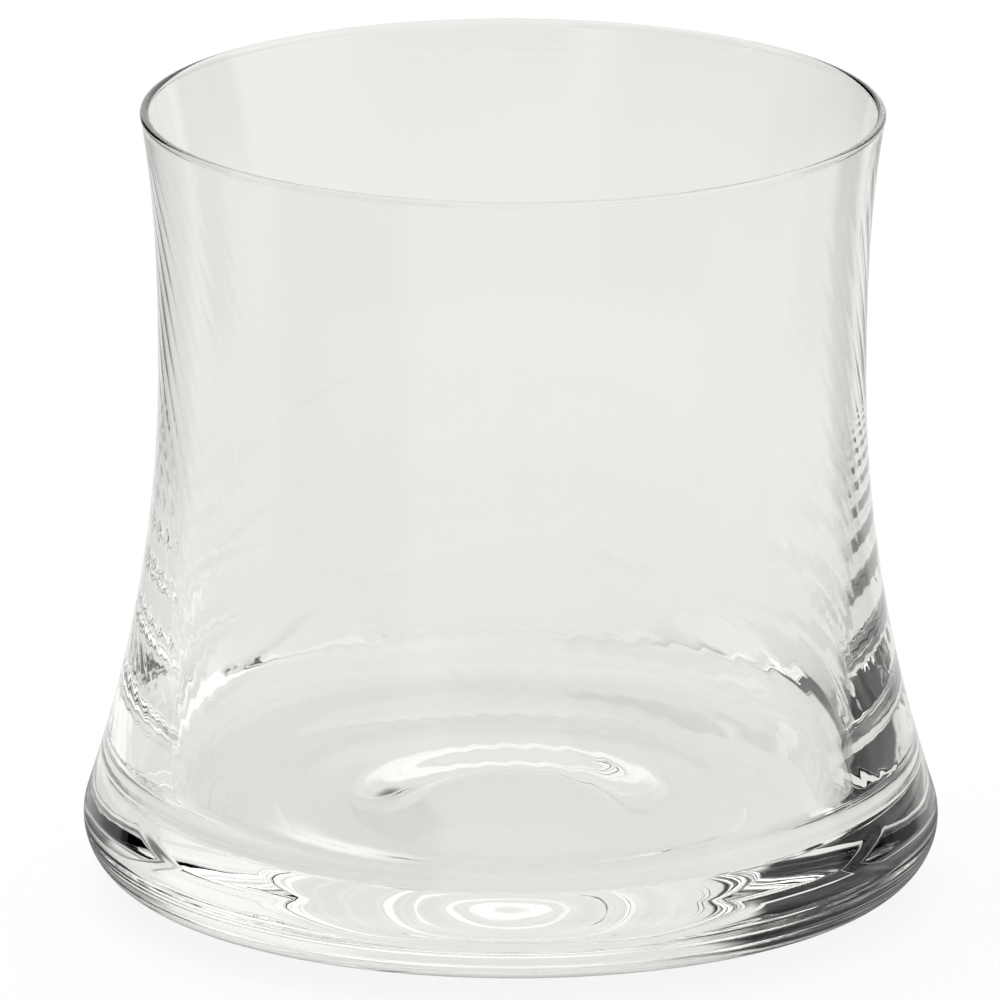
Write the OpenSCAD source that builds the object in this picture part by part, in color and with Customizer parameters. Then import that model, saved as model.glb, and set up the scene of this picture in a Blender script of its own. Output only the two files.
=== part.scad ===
// Low drinking glass with a thin waisted wall, a rounded lip and a heavy rounded base.
// It stands at the origin on the flat ring under its base, and its axis is Z.

/* [Whole glass] */
// Height from the table to the top of the lip
glass_h = 90.6; // [84:0.1:110]
// Diameter over the outside of the lip
mouth_d = 84; // [80:0.5:96]
// Outer diameter at the waist, the narrowest place
waist_d = 80; // [76:0.1:83]
// Height of the waist above the table
waist_h = 60.5; // [50:0.1:70]
// Outer diameter at the heel, the widest place
heel_d = 97.1; // [92:0.1:106]
// Outward lean of the wall where it meets the lip, in degrees
mouth_lean = 9.6; // [4:0.1:18]
// Inward lean of the wall where it leaves the heel, in degrees
heel_lean = 18.1; // [12:0.1:24]

/* [Lip and wall] */
// Diameter of the rounded bead that the flame leaves along the lip
lip_bead_d = 1; // [0.95:0.05:2.4]
// Thickness of the wall just under the lip
lip_wall = 0.8; // [0.6:0.05:0.9]
// Thickness of the wall at the waist
waist_wall = 1.1; // [0.8:0.05:2.5]
// Thickness of the wall where it meets the floor corner
corner_wall = 6; // [3:0.1:8]

/* [Bowl floor] */
// Height of the rim of the floor above the table
floor_h = 8.8; // [8:0.1:15]
// Slope of the floor at its rim, in degrees: it falls towards the middle
floor_lean = 5; // [1:0.1:10]
// Radius of the round corner between the floor and the wall
corner_r = 6.5; // [1.5:0.1:8]

/* [Base] */
// Radius of the round outside the heel
heel_r = 7; // [4:0.1:8]
// Rise of the underside from the table to where the heel's round begins
underside_rise = 1.6; // [1.4:0.1:3]
// Outer diameter of the flat ring that stands on the table
foot_d = 53.8; // [46:0.2:64]
// Width of the soft edge outside the standing ring
foot_edge_w = 2.3; // [1:0.1:4]
// Height of the soft edge outside the standing ring
foot_edge_h = 0.35; // [0.1:0.05:0.5]

/* [Hollow under the base] */
// Outer diameter of the hollow
punt_d = 40.5; // [32:0.5:50]
// Diameter of the level middle of the hollow
punt_top_d = 18; // [8:0.5:28]
// Depth of the hollow
punt_h = 1.9; // [1:0.1:3]

/* [Hidden] */
glass_tint = "#dde3de";
// Fineness of the round sections and of the curves drawn as points
$fn = 128;
wall_steps = 16;
low_wall_steps = 4;
corner_steps = 8;
heel_steps = 12;
heel_top_steps = 3;
floor_steps = 6;
underside_steps = 8;
edge_steps = 4;
punt_steps = 12;
// Angle from the level at which the heel's round begins under the base, in degrees
heel_tuck = 14;
// How late the wall starts to thicken on its way down from the waist, as a power
thicken_power = 2.08;

// The lip's bead is centred on the wall, and the wall meets it where the bead is as wide
bead_r = lip_bead_d / 2;
bead_ring_r = mouth_d / 2 - bead_r;
bead_z = glass_h - bead_r;
lip_seam_z = bead_z - sqrt(pow(bead_r, 2) - pow(lip_wall / 2, 2));
wall_top_r = bead_ring_r + lip_wall / 2;

// The heel's round, from where the underside turns up to where the wall begins
heel_ring_r = heel_d / 2 - heel_r;
heel_z = underside_rise + heel_r * cos(heel_tuck);
tuck_r = heel_ring_r + heel_r * sin(heel_tuck);
wall_foot_r = heel_ring_r + heel_r * cos(heel_lean);
wall_foot_z = heel_z + heel_r * sin(heel_lean);

// A smooth curve from a to b over a span, with the slope given at each end
function eased(a, b, slope_a, slope_b, span, t) =
    a * (1 - 3 * t * t + 2 * t * t * t)
    + slope_a * span * (t - 2 * t * t + t * t * t)
    + b * (3 * t * t - 2 * t * t * t)
    + slope_b * span * (t * t * t - t * t);

// Outer radius of the wall at a height
function lower_r(z) =
    eased(wall_foot_r, waist_d / 2, -tan(heel_lean), 0, waist_h - wall_foot_z,
          (z - wall_foot_z) / (waist_h - wall_foot_z));
function upper_r(z) =
    eased(waist_d / 2, wall_top_r, 0, tan(mouth_lean), lip_seam_z - waist_h,
          (z - waist_h) / (lip_seam_z - waist_h));
function outer_r(z) = z < waist_h ? lower_r(z) : upper_r(z);

// Thickness of the wall at a height: even above the waist, then thicker towards the floor
corner_z = floor_h + corner_r;
function wall_at(z) =
    z < waist_h
    ? waist_wall + (corner_wall - waist_wall) * pow((waist_h - z) / (waist_h - corner_z), thicken_power)
    : waist_wall + (lip_wall - waist_wall) * (z - waist_h) / (lip_seam_z - waist_h);
function inner_r(z) = outer_r(z) - wall_at(z);

// The corner's round touches the leaning wall above it and the sloping floor beside it
corner_lean = atan((inner_r(corner_z) - inner_r(corner_z + corner_r)) / corner_r);
wall_seam_z = corner_z + corner_r * sin(corner_lean);
corner_ring_r = inner_r(wall_seam_z) - corner_r * cos(corner_lean);
floor_rim_r = corner_ring_r + corner_r * sin(floor_lean);
floor_rim_z = corner_z - corner_r * cos(floor_lean);

// Height of the floor at a radius: a shallow dish that leaves its rim at the floor's slope
function floor_z(r) =
    floor_rim_z - tan(floor_lean) * (pow(floor_rim_r, 2) - pow(r, 2)) / (2 * floor_rim_r);
function floor_in(from, to) =
    [for (i = [1:floor_steps]) let (r = from + (to - from) * i / floor_steps) [r, floor_z(r)]];

// Points up the outside of the wall, and down its inside, between two heights
function outside_up(low, high, steps) =
    [for (i = [0:steps]) let (z = low + (high - low) * i / steps) [outer_r(z), z]];
function inside_down(high, low, steps) =
    [for (i = [0:steps]) let (z = high - (high - low) * i / steps) [inner_r(z), z]];

// Points along an arc about a centre, after its first point
function arc(ring_r, z, r, from, to, steps) =
    [for (i = [1:steps]) let (a = from + (to - from) * i / steps) [ring_r + r * cos(a), z + r * sin(a)]];

// Points along a smooth curve between two level places or slopes, from its first point
function curve(r_a, r_b, z_a, z_b, slope_b, steps) =
    [for (i = [0:steps - 1]) let (t = i / steps)
        [r_a + (r_b - r_a) * t, eased(z_a, z_b, 0, slope_b, r_b - r_a, t)]];

foot_r = foot_d / 2;
rise_r = foot_r + foot_edge_w;

// Rounded bead along the mouth, where the cut edge was melted smooth
module lip() {
    color(glass_tint)
        rotate_extrude()
            difference() {
                translate([bead_ring_r, bead_z])
                    circle(r = bead_r);
                translate([bead_ring_r - bead_r, lip_seam_z - lip_bead_d])
                    square([lip_bead_d, lip_bead_d]);
            }
}

// Thin blown wall, from the floor corner up to the lip
module bowl_wall() {
    color(glass_tint)
        rotate_extrude()
            polygon(concat(
                outside_up(wall_seam_z, lip_seam_z, wall_steps),
                inside_down(lip_seam_z, wall_seam_z, wall_steps)));
}

// Thick ring where the wall turns into the base, round outside and inside
module heel_ring() {
    color(glass_tint)
        rotate_extrude()
            polygon(concat(
                curve(foot_r, rise_r, 0, foot_edge_h, 0, edge_steps),
                curve(rise_r, tuck_r, foot_edge_h, underside_rise, tan(heel_tuck), underside_steps),
                [[tuck_r, underside_rise]],
                arc(heel_ring_r, heel_z, heel_r, heel_tuck - 90, 0, heel_steps),
                arc(heel_ring_r, heel_z, heel_r, 0, heel_lean, heel_top_steps),
                outside_up(wall_foot_z + (wall_seam_z - wall_foot_z) / low_wall_steps, wall_seam_z,
                           low_wall_steps - 1),
                [[inner_r(wall_seam_z), wall_seam_z]],
                arc(corner_ring_r, corner_z, corner_r, corner_lean, floor_lean - 90, corner_steps),
                floor_in(floor_rim_r, foot_r)));
}

// Solid disc of the base: the bowl's dished floor above, the flat standing ring and the hollow below
module base_disc() {
    color(glass_tint)
        rotate_extrude()
            polygon(concat(
                [[0, punt_h]],
                curve(punt_top_d / 2, punt_d / 2, punt_h, 0, 0, punt_steps),
                [[punt_d / 2, 0], [foot_r, 0], [foot_r, floor_z(foot_r)]],
                floor_in(foot_r, 0)));
}

lip();
bowl_wall();
heel_ring();
base_disc();
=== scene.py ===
# %% [markdown]
# # A low tumbler of clear glass, blown with a spiral optic
# The real thing is one piece of glass: a thin wall with a waist, a lip melted round, a wide
# rounded heel and a heavy foot with a shallow hollow under it. Clear glass has almost no
# colour of its own, so nearly all that the eye sees is its surroundings, bent and mirrored.
# This lesson therefore spends its effort on three things: an exact section, a faint ribbed
# relief on the inside of the wall, and a small studio for the glass to bend.

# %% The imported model
import math
import bpy
import numpy as np
from mathutils import Matrix, Vector


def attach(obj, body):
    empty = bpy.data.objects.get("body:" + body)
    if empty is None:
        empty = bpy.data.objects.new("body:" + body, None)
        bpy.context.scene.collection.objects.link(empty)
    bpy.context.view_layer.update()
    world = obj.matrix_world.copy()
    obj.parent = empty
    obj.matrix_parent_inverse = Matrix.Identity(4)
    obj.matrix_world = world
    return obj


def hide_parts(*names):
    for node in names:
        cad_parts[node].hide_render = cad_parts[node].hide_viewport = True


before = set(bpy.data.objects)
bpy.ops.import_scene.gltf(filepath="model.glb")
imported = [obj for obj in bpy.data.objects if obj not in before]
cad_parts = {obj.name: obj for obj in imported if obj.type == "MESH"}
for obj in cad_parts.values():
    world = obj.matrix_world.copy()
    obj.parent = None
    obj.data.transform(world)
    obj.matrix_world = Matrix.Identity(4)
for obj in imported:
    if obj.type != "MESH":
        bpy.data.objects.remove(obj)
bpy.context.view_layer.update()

print("nodes of the packed model:", sorted(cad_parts))

# %% [markdown]
# ## Sizes of the section
# A blown glass is drawn as half a cross-section and turned about its axis. The sizes here are
# the ones of the solid model, so every piece of the scene stays exactly where its solid is.
# They could be read off the solids' meshes, but a lens works by slopes, and the slopes of a
# curve come out far cleaner from its formula than from somebody else's facets.

# %% Sizes
MM = 0.001
glass_height = 90.6 * MM
mouth_diameter = 84 * MM
waist_diameter = 80 * MM
waist_height = 60.5 * MM
heel_diameter = 97.1 * MM
mouth_lean = math.radians(9.6)
heel_lean = math.radians(18.1)
bead_radius = 0.5 * MM
lip_wall = 0.8 * MM
waist_wall = 1.1 * MM
corner_wall = 6 * MM
thickening_power = 2.08
floor_height = 8.8 * MM
floor_lean = math.radians(5)
corner_round = 6.5 * MM
heel_round = 7 * MM
heel_tuck = math.radians(14)
underside_rise = 1.6 * MM
foot_radius = 26.9 * MM
foot_edge_width = 2.3 * MM
foot_edge_height = 0.35 * MM
hollow_radius = 20.25 * MM
hollow_top_radius = 9 * MM
hollow_depth = 1.9 * MM

bead_ring = mouth_diameter / 2 - bead_radius
bead_z = glass_height - bead_radius
lip_seam_z = bead_z - math.sqrt(bead_radius**2 - (lip_wall / 2)**2)
wall_top_radius = bead_ring + lip_wall / 2
heel_ring = heel_diameter / 2 - heel_round
heel_z = underside_rise + heel_round * math.cos(heel_tuck)
tuck_radius = heel_ring + heel_round * math.sin(heel_tuck)
wall_foot_radius = heel_ring + heel_round * math.cos(heel_lean)
wall_foot_z = heel_z + heel_round * math.sin(heel_lean)
corner_z = floor_height + corner_round
print(f"lip seam at {lip_seam_z / MM:.3f} mm, heel's centre at {heel_z / MM:.3f} mm")


# %% [markdown]
# ## Curves of the section
# Each stretch of the section is a cubic that leaves one place at a given slope and reaches the
# next at another, the way a glassmaker's template is a fair curve between a few known widths.
# The wall thins a little from the waist up and swells late and fast towards the floor, which is
# how glass gathers at the bottom of a bubble while it is blown.

# %% Curves
def eased(a, b, slope_a, slope_b, span, t):
    """A smooth curve from a to b over a span, with the slope given at each end."""
    return (a * (1 - 3 * t**2 + 2 * t**3) + slope_a * span * (t - 2 * t**2 + t**3)
            + b * (3 * t**2 - 2 * t**3) + slope_b * span * (t**3 - t**2))


def outer_radius(z):
    """Outer radius of the wall at a height, below and above the waist."""
    low = eased(wall_foot_radius, waist_diameter / 2, -math.tan(heel_lean), 0,
                waist_height - wall_foot_z, (z - wall_foot_z) / (waist_height - wall_foot_z))
    high = eased(waist_diameter / 2, wall_top_radius, 0, math.tan(mouth_lean),
                 lip_seam_z - waist_height, (z - waist_height) / (lip_seam_z - waist_height))
    return np.where(z < waist_height, low, high)


def wall_thickness(z):
    """Thickness of the wall, measured level, at a height."""
    depth = np.clip((waist_height - z) / (waist_height - corner_z), 0, None)
    low = waist_wall + (corner_wall - waist_wall) * depth**thickening_power
    high = waist_wall + (lip_wall - waist_wall) * (z - waist_height) / (lip_seam_z - waist_height)
    return np.where(z < waist_height, low, high)


def inner_radius(z):
    """Inner radius of the wall at a height."""
    return outer_radius(z) - wall_thickness(z)


widening = inner_radius(corner_z) - inner_radius(corner_z + corner_round)
corner_lean = math.atan(widening / corner_round)
wall_seam_z = corner_z + corner_round * math.sin(corner_lean)
corner_ring = float(inner_radius(wall_seam_z)) - corner_round * math.cos(corner_lean)
floor_rim_radius = corner_ring + corner_round * math.sin(floor_lean)
floor_rim_z = corner_z - corner_round * math.cos(floor_lean)


def floor_level(r):
    """Height of the bowl's floor at a radius: a shallow dish."""
    drop = math.tan(floor_lean) * (floor_rim_radius**2 - r**2) / (2 * floor_rim_radius)
    return floor_rim_z - drop


print(f"wall seam at {wall_seam_z / MM:.3f} mm, floor's middle at {floor_level(0) / MM:.3f} mm")


# %% [markdown]
# ## Stretches of the section
# The whole outline runs once round: from the axis under the foot, out along the underside, up
# the outside, over the lip, down the inside and in along the floor. It is cut into stretches, and
# each stretch belongs to one piece. Where two stretches meet they share a point, so the pieces
# fit together without a gap. The lip's bead is drawn with soft shoulders: a flame leaves no
# sharp crease where the bead grows out of the wall.

# %% Stretches
def line(start, end, steps):
    """Evenly spaced places from start to end, both included."""
    return np.linspace(start, end, steps + 1)


def arc(ring, level, radius, start, end, steps):
    """Points along an arc about a centre."""
    angle = line(start, end, steps)
    return np.stack([ring + radius * np.cos(angle), level + radius * np.sin(angle)], axis=1)


def swept(radii, level_a, level_b, slope_b, steps):
    """Points of an eased curve that starts level, between two radii."""
    t = line(0, 1, steps)
    span = radii[1] - radii[0]
    return np.stack([radii[0] + span * t, eased(level_a, level_b, 0, slope_b, span, t)], axis=1)


def by_height(radius_at, start, end, steps):
    """Points of a wall whose radius is known at each height."""
    z = line(start, end, steps)
    return np.stack([radius_at(z), z], axis=1)


shoulder_drop = 0.15 * MM
shoulder_z = bead_z - shoulder_drop
shoulder_half = math.sqrt(bead_radius**2 - (shoulder_z - bead_z)**2)
t = line(0, 1, 5)
shoulder_width = eased(lip_wall / 2, shoulder_half, 0, (bead_z - shoulder_z) / shoulder_half,
                       shoulder_z - lip_seam_z, t)
shoulder_level = lip_seam_z + (shoulder_z - lip_seam_z) * t
shoulder_angle = math.asin((bead_z - shoulder_z) / bead_radius)
bead = np.concatenate([
    np.stack([bead_ring + shoulder_width, shoulder_level], axis=1)[:-1],
    arc(bead_ring, bead_z, bead_radius, -shoulder_angle, math.pi + shoulder_angle, 22),
    np.stack([bead_ring - shoulder_width, shoulder_level], axis=1)[::-1][1:]])

floor_radii_out = line(floor_rim_radius, foot_radius, 16)
floor_radii_in = line(foot_radius, 0, 30)
stretches = [
    ("base_disc", "hollow", np.stack([line(0, hollow_top_radius, 5),
                                      np.full(6, hollow_depth)], axis=1)),
    ("base_disc", "hollow", swept((hollow_top_radius, hollow_radius), hollow_depth, 0, 0, 26)),
    ("base_disc", "foot", np.stack([line(hollow_radius, foot_radius, 4), np.zeros(5)], axis=1)),
    ("heel_ring", "foot", swept((foot_radius, foot_radius + foot_edge_width),
                                0, foot_edge_height, 0, 10)),
    ("heel_ring", "underside", swept((foot_radius + foot_edge_width, tuck_radius), foot_edge_height,
                                     underside_rise, math.tan(heel_tuck), 16)),
    ("heel_ring", "heel", arc(heel_ring, heel_z, heel_round,
                              heel_tuck - math.pi / 2, heel_lean, 28)),
    ("heel_ring", "outside", by_height(outer_radius, wall_foot_z, wall_seam_z, 4)),
    ("bowl_wall", "outside", by_height(outer_radius, wall_seam_z, lip_seam_z, 76)),
    ("lip", "bead", bead),
    ("bowl_wall", "inside", by_height(inner_radius, lip_seam_z, wall_seam_z, 76)),
    ("heel_ring", "corner", arc(corner_ring, corner_z, corner_round, corner_lean,
                                floor_lean - math.pi / 2, 20)),
    ("heel_ring", "floor", np.stack([floor_radii_out, floor_level(floor_radii_out)], axis=1)),
    ("base_disc", "floor", np.stack([floor_radii_in, floor_level(floor_radii_in)], axis=1)),
]
print("stretches of the section:", len(stretches))

# %% [markdown]
# ## One outline, row by row
# All stretches are strung into one list of rows, and each row knows how far along the outline it
# lies, which way the surface faces there and how far down the inside of the bowl it is. Keeping
# one list means that the surface's slopes can be worked out across the seams, so light crosses
# from one piece to the next as it would in one piece of glass.

# %% Rows
section = stretches[0][2]
first_row = [0]
for piece, place, points in stretches[1:]:
    first_row.append(len(section) - 1)
    section = np.concatenate([section, points[1:]])
first_row.append(len(section) - 1)
radius, level = section[:, 0], section[:, 1]
ahead = np.gradient(section, axis=0)
ahead /= np.linalg.norm(ahead, axis=1, keepdims=True)
outward = np.stack([ahead[:, 1], -ahead[:, 0]], axis=1)
inside_from = first_row[[place for piece, place, points in stretches].index("inside")]
step_lengths = np.linalg.norm(np.diff(section, axis=0), axis=1)
walked = np.concatenate([[0], np.cumsum(step_lengths)])
down_inside = np.clip(walked - walked[inside_from], 0, None)
print(f"rows: {len(section)}, outline {walked[-1] / MM:.1f} mm long")

# %% [markdown]
# ## The spiral optic and the hand of the maker
# The gather of glass is first blown into a ribbed mould and then turned while it is blown out, so
# fine ribs climb the inside of the wall like a screw thread, a little over three millimetres apart.
# They are only about a hundredth of a millimetre high, and they fade where the lip was melted. A
# bump texture could fake them, but real relief bends light rightly through both walls and stays in
# the mesh. The columns of the mesh follow the spiral, so a few columns to a rib are enough.

# %% Relief of the inside
ribs = 76
columns_per_rib = 8
columns = ribs * columns_per_rib
spiral_slope = 0.67
rib_height = 0.014 * MM
rib_height_low = 0.005 * MM
lip_fade = 14 * MM
floor_fade = (30 * MM, 38 * MM)
full_height_at = (14 * MM, 60 * MM)
tightest_turn = 12 * MM


def smooth_step(low, high, x):
    """0 below low, 1 above high, and a soft rise between."""
    t = np.clip((x - low) / (high - low), 0, 1)
    return t * t * (3 - 2 * t)


on_wall = level > wall_seam_z
column_turn = np.where(on_wall, -spiral_slope * (level - wall_seam_z) / (waist_diameter / 2), 0)
around = 2 * np.pi * np.arange(columns) / columns
angles = around[None, :] + column_turn[:, None]

rib_turn = column_turn.copy()
floor_from = first_row[[place for piece, place, points in stretches].index("corner")]
for row in range(floor_from + 1, len(section)):
    turn = spiral_slope * step_lengths[row - 1] / max(radius[row], tightest_turn)
    rib_turn[row] = rib_turn[row - 1] + turn
is_inside = np.arange(len(section)) > inside_from
rib_strength = (is_inside * smooth_step(0, lip_fade, down_inside)
                * smooth_step(*floor_fade, np.where(level < corner_z, radius, 1)))
rib_phase = ribs * (angles - rib_turn[:, None])
rib_wave = np.cos(rib_phase) + 0.25 * np.cos(2 * rib_phase)
rib_relief = rib_height_low + (rib_height - rib_height_low) * smooth_step(*full_height_at, level)
relief = (rib_relief / 2 * rib_strength)[:, None] * rib_wave
print(f"{ribs} ribs, {columns} columns, relief up to {np.abs(relief).max() / MM:.3f} mm")

# %% [markdown]
# ## Slow unevenness
# A blown wall is never quite even: its thickness wanders by a hundredth of a millimetre or so
# round the glass and down it. A handful of long waves with fixed starting points gives that,
# stronger in the thick corner, where the glass stayed hot longest. They are small enough not to
# change the size, but a polished surface shows them at once in what it mirrors.

# %% Unevenness
wave_count = 14
wave_height = 0.004 * MM
wave_height_more = 0.008 * MM
wander = np.random.default_rng(7)
inside_waves = np.zeros((len(section), columns))
for wave in range(wave_count):
    turns = wander.integers(2, 15)
    length = wander.uniform(14, 46) * MM
    start = wander.uniform(0, 2 * np.pi, 2)
    inside_waves += (np.cos(turns * angles + start[0])
                     * np.cos(2 * np.pi * walked / length + start[1])[:, None]) / math.sqrt(turns)
thick_share = 1 - smooth_step(6 * MM, 30 * MM, level)
calm = is_inside * smooth_step(2 * MM, 24 * MM, radius) * smooth_step(0, 8 * MM, down_inside)
wave_strength = calm * (wave_height + wave_height_more * thick_share)
relief = relief + inside_waves * wave_strength[:, None]

pushed = section[:, None, :] + relief[:, :, None] * outward[:, None, :]
points = np.stack([pushed[..., 0] * np.cos(angles), pushed[..., 0] * np.sin(angles),
                   pushed[..., 1]], axis=-1)
across = np.roll(points, -1, axis=1) - np.roll(points, 1, axis=1)
along = np.gradient(points, axis=0)
facing = np.cross(across, along)
for end in (0, -1):
    facing[end] = (0, 0, -1 if end == 0 else 1)
facing /= np.linalg.norm(facing, axis=-1, keepdims=True)
print(f"relief with unevenness up to {np.abs(relief).max() / MM:.3f} mm")


# %% [markdown]
# ## Turning the rows into pieces
# Each piece takes its own rows, and joint faces close it where it meets its neighbour, so every
# mesh is a closed body that can stand alone. The skin of the glass is in the first material slot
# and the joint faces are in the second. The directions in which the skin faces are handed to the
# mesh as custom normals, because a mesh left to itself would guess wrongly along a seam.

# %% Piece builder
def make_piece(name, skin, joint):
    """A closed mesh from the stretches of one node, with its joint faces in a second slot."""
    spans = []
    for number, (piece, place, shape) in enumerate(stretches):
        if piece == name:
            if spans and spans[-1][1] == first_row[number]:
                spans[-1] = (spans[-1][0], first_row[number + 1])
            else:
                spans.append((first_row[number], first_row[number + 1]))
    spots, directions, rows = [], [], []
    for start, end in spans:
        for row in range(start, end + 1):
            pole = radius[row] < 1e-9
            rows.append([len(spots) + (0 if pole else k) for k in range(columns)])
            spots.extend(points[row][:1] if pole else points[row])
            directions.extend(facing[row][:1] if pole else facing[row])
    faces, slots = [], []
    count = [end - start + 1 for start, end in spans]
    starts = [sum(count[:i]) for i in range(len(count))]

    def strip(lower, upper, slot):
        for k in range(columns):
            n = (k + 1) % columns
            corners = [rows[lower][k], rows[lower][n], rows[upper][n], rows[upper][k]]
            faces.append(list(dict.fromkeys(corners)))
            slots.append(slot)

    for start, size in zip(starts, count):
        for row in range(start, start + size - 1):
            strip(row, row + 1, 0)
    for i, (start, size) in enumerate(zip(starts, count)):
        next_start = starts[(i + 1) % len(starts)]
        last = start + size - 1
        if len(set(rows[last])) > 1 and len(set(rows[next_start])) > 1:
            strip(last, next_start, 1)
    mesh = bpy.data.meshes.new(name)
    mesh.from_pydata([tuple(spot) for spot in spots], [], faces)
    mesh.materials.append(skin)
    mesh.materials.append(joint)
    mesh.polygons.foreach_set("material_index", slots)
    mesh.polygons.foreach_set("use_smooth", [slot == 0 for slot in slots])
    flat = [tuple(face.normal) for face in mesh.polygons]
    normals = []
    for face, slot in zip(mesh.polygons, slots):
        for vertex in face.vertices:
            normals.append(flat[face.index] if slot else tuple(directions[vertex]))
    mesh.normals_split_custom_set(normals)
    mesh.validate()
    piece = bpy.data.objects.new(name + "_glass", mesh)
    bpy.context.collection.objects.link(piece)
    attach(piece, "root")
    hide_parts(name)
    print(f"{piece.name}: {len(mesh.vertices)} points, {len(mesh.polygons)} faces")


# %% [markdown]
# ## Writing shader maths
# Node trees get hard to read when every sum is a box and two wires. Here one small class wraps a
# socket, so sums on values are written as sums, and one method of the board makes every other
# node from its type, its settings and what goes into its sockets.

# %% Shader board
class Flow:
    """A socket's output that takes part in sums; each sum adds a Math node."""

    def __init__(self, board, socket):
        self.board, self.socket = board, socket

    def _sum(self, operation, first, second):
        return self.board.node("ShaderNodeMath", {"operation": operation}, {0: first, 1: second})

    def __add__(self, other):
        return self._sum("ADD", self, other)

    def __mul__(self, other):
        return self._sum("MULTIPLY", self, other)

    __radd__ = __add__
    __rmul__ = __mul__

    def __rsub__(self, other):
        return self._sum("SUBTRACT", other, self)


class Board:
    """A node tree that is filled by writing it down."""

    def __init__(self, owner):
        owner.use_nodes = True
        self.tree = owner.node_tree
        self.tree.nodes.clear()

    def node(self, kind, settings=None, sockets=None, out=0):
        """A node with its settings made first, then its sockets filled or linked."""
        made = self.tree.nodes.new(kind)
        for key, value in (settings or {}).items():
            setattr(made, key, value)
        for key, value in (sockets or {}).items():
            if isinstance(value, Flow):
                self.tree.links.new(value.socket, made.inputs[key])
            else:
                made.inputs[key].default_value = value
        return Flow(self, made.outputs[out]) if made.outputs else made

    def also(self, flow, name):
        """Another output of the node that a flow comes from."""
        return Flow(self, flow.socket.node.outputs[name])


# %% [markdown]
# ## Clear glass
# Tableware glass bends light by about 1.5 and is polished by the fire, so its roughness is nil.
# It isn't quite without colour: a trace of iron and the manganese that corrects it leave a hint
# of warm grey, a little stronger in some streaks than in others, as the melt is never stirred
# perfectly. A faint bump on top of the modelled relief stands for cords, the hair-fine threads of
# slightly different glass that all blown ware has.

# %% Glass recipe
glass_bend = 1.5
cord_height = 0.012 * MM
joint_haze = 0.002


def clear_glass():
    """Fire-polished tableware glass with faint streaks in its tint and cords in its surface."""
    material = bpy.data.materials.new("clear_glass")
    board = Board(material)
    place = board.node("ShaderNodeTexCoord", out="Object")
    stretched = board.node("ShaderNodeMapping", {}, {"Vector": place, "Scale": (1, 1, 0.35)})
    streaks = board.node("ShaderNodeTexNoise", {}, {
        "Vector": stretched, "Scale": 38.0, "Detail": 3.0, "Roughness": 0.55}, out="Fac")
    tint = board.node("ShaderNodeMix", {"data_type": "RGBA"}, {
        0: streaks, 6: (0.962, 0.962, 0.950, 1), 7: (0.982, 0.984, 0.978, 1)}, out=2)
    cords = board.node("ShaderNodeTexNoise", {}, {
        "Vector": stretched, "Scale": 150.0, "Detail": 2.0, "Roughness": 0.5}, out="Fac")
    bumped = board.node("ShaderNodeBump", {}, {
        "Height": cords, "Strength": 1.0, "Distance": cord_height})
    shader = board.node("ShaderNodeBsdfPrincipled", {}, {
        "Base Color": tint, "Roughness": 0.0, "IOR": glass_bend, "Transmission Weight": 1.0,
        "Normal": bumped})
    board.node("ShaderNodeOutputMaterial", {}, {"Surface": shader})
    return material


def joint_glass():
    """Inner faces where two pieces meet: the real glass runs on there, but for a trace of haze."""
    material = bpy.data.materials.new("glass_joint")
    board = Board(material)
    place = board.node("ShaderNodeTexCoord", out="Object")
    drift = board.node("ShaderNodeTexNoise", {}, {"Vector": place, "Scale": 20.0}, out="Fac")
    passing = board.node("ShaderNodeBsdfTransparent", {}, {"Color": (1, 1, 1, 1)})
    shader = board.node("ShaderNodeBsdfPrincipled", {}, {
        "Base Color": (0.96, 0.97, 0.96, 1), "Roughness": 0.0, "IOR": glass_bend,
        "Transmission Weight": 1.0})
    blend = board.node("ShaderNodeMixShader", {}, {0: drift * joint_haze, 1: passing, 2: shader})
    board.node("ShaderNodeOutputMaterial", {}, {"Surface": blend})
    return material


skin = clear_glass()
joint = joint_glass()
for name in ("base_disc", "heel_ring", "bowl_wall", "lip"):
    make_piece(name, skin, joint)
print(f"glass that bends light by {glass_bend}")

# %% [markdown]
# ## Camera
# The photograph was taken with a long lens from about two metres, looking down at some fifteen
# degrees: the ellipse of the mouth gives the angle, and how the base narrows against the rim
# gives the distance. The camera is turned by a hair, as the glass stands a hair crooked there.

# %% Camera
view_distance = 2.016
view_elevation = 0.27279
view_target = Vector((-1.33 * MM, 0, 44.86 * MM))
view_roll = 0.003
lens = bpy.data.cameras.new("view")
lens.sensor_width = 36
lens.lens = 641.35
lens.clip_end = 20
camera = bpy.data.objects.new("view", lens)
bpy.context.collection.objects.link(camera)
back_off = Vector((0, -math.cos(view_elevation), math.sin(view_elevation))) * view_distance
camera.matrix_world = (Matrix.Translation(view_target + back_off)
                       @ Matrix.Rotation(math.pi / 2 - view_elevation, 4, "X")
                       @ Matrix.Rotation(view_roll, 4, "Z"))
bpy.context.scene.camera = camera
camera_place = tuple(round(v, 3) for v in camera.matrix_world.translation)
print(f"camera at {camera_place}, lens {lens.lens:.2f} mm")

# %% [markdown]
# ## The room as a light
# Clear glass is pictured against a bright field: a lit backdrop fills what it bends, dark boards
# beside the backdrop draw its edges and its foot, and lit screens put white shapes into its base.
# Boards could be meshes, but their hard corners would show in the bent light, and a patch of a
# world shader takes a soft edge for nothing. So each board or screen is one line here: between
# which bearings it stands, in degrees from the back toward the right, between which heights, in
# degrees above or below the level, how soft its edge is, and how bright it is.

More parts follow.
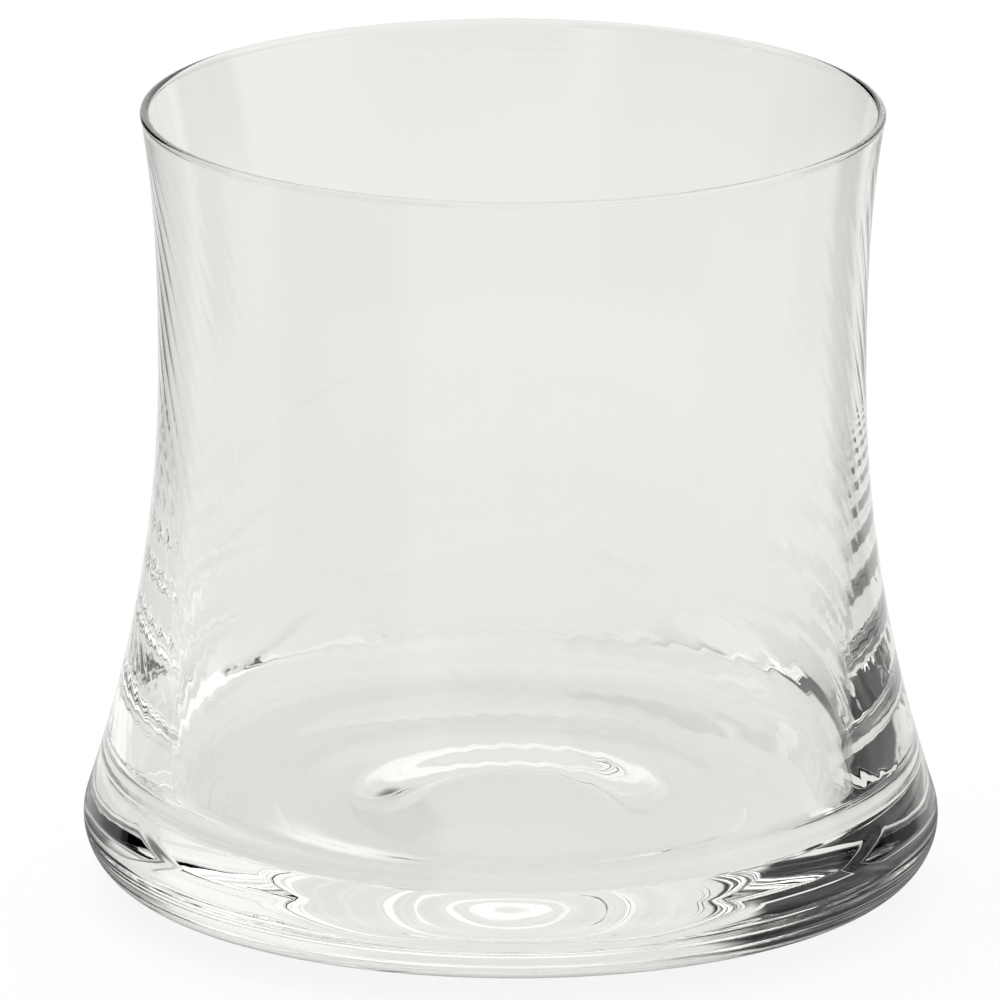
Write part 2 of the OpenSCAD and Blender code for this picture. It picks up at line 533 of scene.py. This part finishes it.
# %% Boards and screens
backdrop = 0.83
# Lines below the level are painted into the table's glow as painted shade and painted light.
boards = [
    ("roof of the tent, under the lamp", (-190, 190), (52, 96), 6, 1.1),
    ("brighter right half of the backdrop", (16, 44), (-3, 26), 5, 1.0),
    ("long dark board from the left to the front", (-160, -22), (9, 50), 3, 0.0),
    ("window in the long board", (-101, -82), (12, 24), 3, 0.75),
    ("foot of the long board, toward the back", (-85, -22), (-4, 11), 3, 0.0),
    ("foot of the long board, toward the front", (-148, -70), (-4, 11), 14, 0.0),
    # painted shadow on the table before the foot of the long board
    ("shade on the table before its foot", (-148, -105), (-11, -4), 6, 0.35),
    ("lit screen high at the left", (-83, -62), (27, 60), 3, 1.9),
    # painted shade on the backdrop and, below the level, on the table at the right
    ("shade on the backdrop at the right", (43, 61), (-11, 9), 4, 0.2),
    ("narrow dark board at the right", (60, 80), (-4, 13.5), 3, 0.03),
    ("lit screen at the right", (81, 122), (10, 48), 5, 1.25),
    ("high lit screen in front", (100, 171), (25, 48), 9, 1.5),
    ("dim gap under that screen, right half", (130, 200), (-1, 10), 16, 0.2),
    ("dim gap under that screen, left half", (-200, -160), (-1, 10), 8, 0.2),
    # painted light on the table in front, both halves
    ("brightly lit table in front, right half", (100, 200), (-27, -14), 5, 1.2),
    ("brightly lit table in front, left half", (-200, -100), (-27, -14), 5, 1.2),
    # painted shadow of the long board on the table
    ("shade of the long board on the table", (-60, -28), (-12, -4), 4, 0.5),
]
print(f"room with {len(boards)} boards and screens")

# %% [markdown]
# ## Brightness toward a place
# The same studio is asked for twice, by the room behind everything and by the table that the boards
# stand on, whose glow takes the boards' painted shade and painted light. So its brightness is
# worked out by one helper, from how far away a place is, at which bearing it lies and how high.
# Each line of the list is laid over the ones before it, as one board hides what is behind it. Rays
# are told apart as well: the camera's own rays see plain white, and only rays that the glass bent
# or mirrored meet the boards.

# %% Studio
TURN_TO_DEGREES = 180 / math.pi


def rise(value, low, high, bottom=0.0, top=1.0):
    """A soft rise of a value from bottom to top between two of its values."""
    return value.board.node("ShaderNodeMapRange", {"interpolation_type": "SMOOTHSTEP"}, {
        "Value": value, "From Min": low, "From Max": high, "To Min": bottom, "To Max": top})


def within(value, low, high, edge):
    """1 between two values and 0 outside them, with a soft edge."""
    return rise(value, low - edge, low + edge) * rise(value, high - edge, high + edge, 1.0, 0.0)


def angle(board, y, x):
    """The angle whose rise is y and whose run is x, in degrees."""
    return board.node("ShaderNodeMath", {"operation": "ARCTAN2"}, {0: y, 1: x}) * TURN_TO_DEGREES


def polar(board, x, y):
    """How far a place is from the axis, and at which bearing from the back toward the right."""
    away = board.node("ShaderNodeMath", {"operation": "SQRT"}, {0: x * x + y * y})
    return away, angle(board, x, y)


def studio(board, away, bearing, z):
    """Brightness of the studio toward a place seen from the glass."""
    height = angle(board, z, away)
    field = backdrop
    for words, bearings, heights, edge, brightness in boards:
        cover = within(bearing, *bearings, edge) * within(height, *heights, edge / 2)
        field = field + cover * (brightness - field)
    return field


def rays(board):
    """Which rays see a surface: the camera's own, bent ones, and ones that were only mirrored."""
    seen = board.node("ShaderNodeLightPath", out="Is Camera Ray")
    bent = board.also(seen, "Is Transmission Ray")
    return seen, bent, board.also(seen, "Is Glossy Ray") * (1 - bent)


print(f"bearings and heights in degrees, {TURN_TO_DEGREES:.2f} to a radian")

# %% [markdown]
# ## The world
# The camera itself sees plain white in every direction, and scattered light meets an even room,
# so the table stays evenly lit. The rest see the studio, a little warm, as the photographed glass
# is. Light crosses many faces in a thick base, so the count of bounces is raised.

# %% World
scene = bpy.context.scene
scene.view_settings.view_transform = "Standard"
scene.cycles.max_bounces = 32
scene.cycles.transmission_bounces = 32
scene.cycles.glossy_bounces = 24
scene.cycles.transparent_max_bounces = 32
even_light = 0.8
room_warmth = (1.0, 1.0, 0.972, 1)
white = (1, 1, 1, 1)

room = bpy.data.worlds.new("room")
scene.world = room
board = Board(room)
ahead_of_ray = board.node("ShaderNodeTexCoord", out="Generated")
toward = board.node("ShaderNodeSeparateXYZ", {}, {0: ahead_of_ray}, out="X")
away, bearing = polar(board, toward, board.also(toward, "Y"))
field = studio(board, away, bearing, board.also(toward, "Z"))
seen, bent, mirrored = rays(board)
through = bent + mirrored
strength = board.node("ShaderNodeMix", {}, {0: through, 2: even_light, 3: field})
strength = board.node("ShaderNodeMix", {}, {0: seen, 2: strength, 3: 1.0})
tone = board.node("ShaderNodeMix", {"data_type": "RGBA"}, {
    0: through, 6: white, 7: room_warmth}, out=2)
glow = board.node("ShaderNodeBackground", {}, {"Color": tone, "Strength": strength})
board.node("ShaderNodeOutputWorld", {}, {"Surface": glow})
print(f"{scene.cycles.max_bounces} bounces, even light of {even_light} for matt surfaces")

# %% [markdown]
# ## Table
# The glass stands on a plain white table that is lit as brightly as the back. Most of its white
# is its own glow and the rest is light that falls on it, so a faint shadow is left round the foot.
# The boards stand on the table, and their shade and the light before them are painted into the
# table's glow for bent and mirrored rays, which meet the same studio there, seen from a point a few
# centimetres above the table's middle. What the heel mirrors is the table close to it, with a
# painted shade standing for the glass's own shadow. A small bright arc of painted light, standing
# for light that the base gathers from the screens, lies on the table under the base's edge and
# shows through the base.

# %% Table
eye_height = 0.03
own_light = 0.85
# painted shade on the table close to the heel, seen in what the heel mirrors
heel_shade = 0.85
heel_shade_edge = (0.06, 0.09)
# painted pool of light: a small bright arc painted on the table under the base's edge
painted_light_ring = (0.025, 0.0305)
painted_light_bearings = (-152, -112)
painted_light_strength = 0.4


def table_top():
    """A matt white table that glows for the most part, with the studio's tones painted in as shade
    and light for bent rays.
    """
    material = bpy.data.materials.new("white_table")
    board = Board(material)
    place = board.node("ShaderNodeTexCoord", out="Object")
    grain = board.node("ShaderNodeTexNoise", {}, {"Vector": place, "Scale": 900.0}, out="Fac")
    paint = board.node("ShaderNodeMix", {"data_type": "RGBA"}, {
        0: grain, 6: (0.965, 0.965, 0.965, 1), 7: (0.98, 0.98, 0.98, 1)}, out=2)
    matt = board.node("ShaderNodeBsdfDiffuse", {}, {"Color": paint})
    x = board.node("ShaderNodeSeparateXYZ", {}, {0: place}, out="X")
    away, bearing = polar(board, x, board.also(x, "Y"))
    # painted shade and painted light: the studio's boards are painted into the table's glow
    field = studio(board, away, bearing, -eye_height)
    seen, bent, mirrored = rays(board)
    # painted shadow of the glass on the table close to the heel, for mirrored rays
    field = field * (1 - mirrored * rise(away, *heel_shade_edge, heel_shade, 0.0))
    # painted light: the bright arc is added to the table's glow
    painted_light_arc = within(away, *painted_light_ring, 0.0015) * within(bearing, *painted_light_bearings, 14)
    painted_studio_tone = board.node("ShaderNodeVectorMath", {"operation": "SCALE"}, {
        0: room_warmth[:3], "Scale": field + painted_light_strength * painted_light_arc})
    direct = board.node("ShaderNodeMix", {"data_type": "RGBA"}, {0: seen, 6: painted_studio_tone, 7: white}, out=2)
    own = board.node("ShaderNodeEmission", {}, {"Color": direct, "Strength": 1.0})
    blend = board.node("ShaderNodeMixShader", {}, {0: own_light, 1: matt, 2: own})
    board.node("ShaderNodeOutputMaterial", {}, {"Surface": blend})
    return material


table_half = 4.0
table_z = -0.05 * MM
corners = [(-table_half, -table_half, table_z), (table_half, -table_half, table_z),
           (table_half, table_half, table_z), (-table_half, table_half, table_z)]
mesh = bpy.data.meshes.new("table")
mesh.from_pydata(corners, [], [(0, 1, 2, 3)])
mesh.materials.append(table_top())
table = bpy.data.objects.new("table", mesh)
bpy.context.collection.objects.link(table)
print(f"table {2 * table_half} m wide")

# %% [markdown]
# ## Soft lamp
# One wide lamp hangs above and behind, as in a light tent. It gives the table its light.

# %% Lamp
lamp_data = bpy.data.lights.new("soft_lamp", "AREA")
lamp_data.shape = "RECTANGLE"
lamp_data.size = 1.6
lamp_data.size_y = 1.2
lamp_data.energy = 12  # watts
lamp = bpy.data.objects.new("soft_lamp", lamp_data)
lamp.location = (-0.2, 0.5, 1.6)
lamp.rotation_euler = (-lamp.location).to_track_quat("-Z", "Y").to_euler()
bpy.context.collection.objects.link(lamp)
lamp.visible_glossy = False
lamp.visible_transmission = False
print(f"lamp of {lamp_data.energy} W at {tuple(round(v, 2) for v in lamp.location)}")
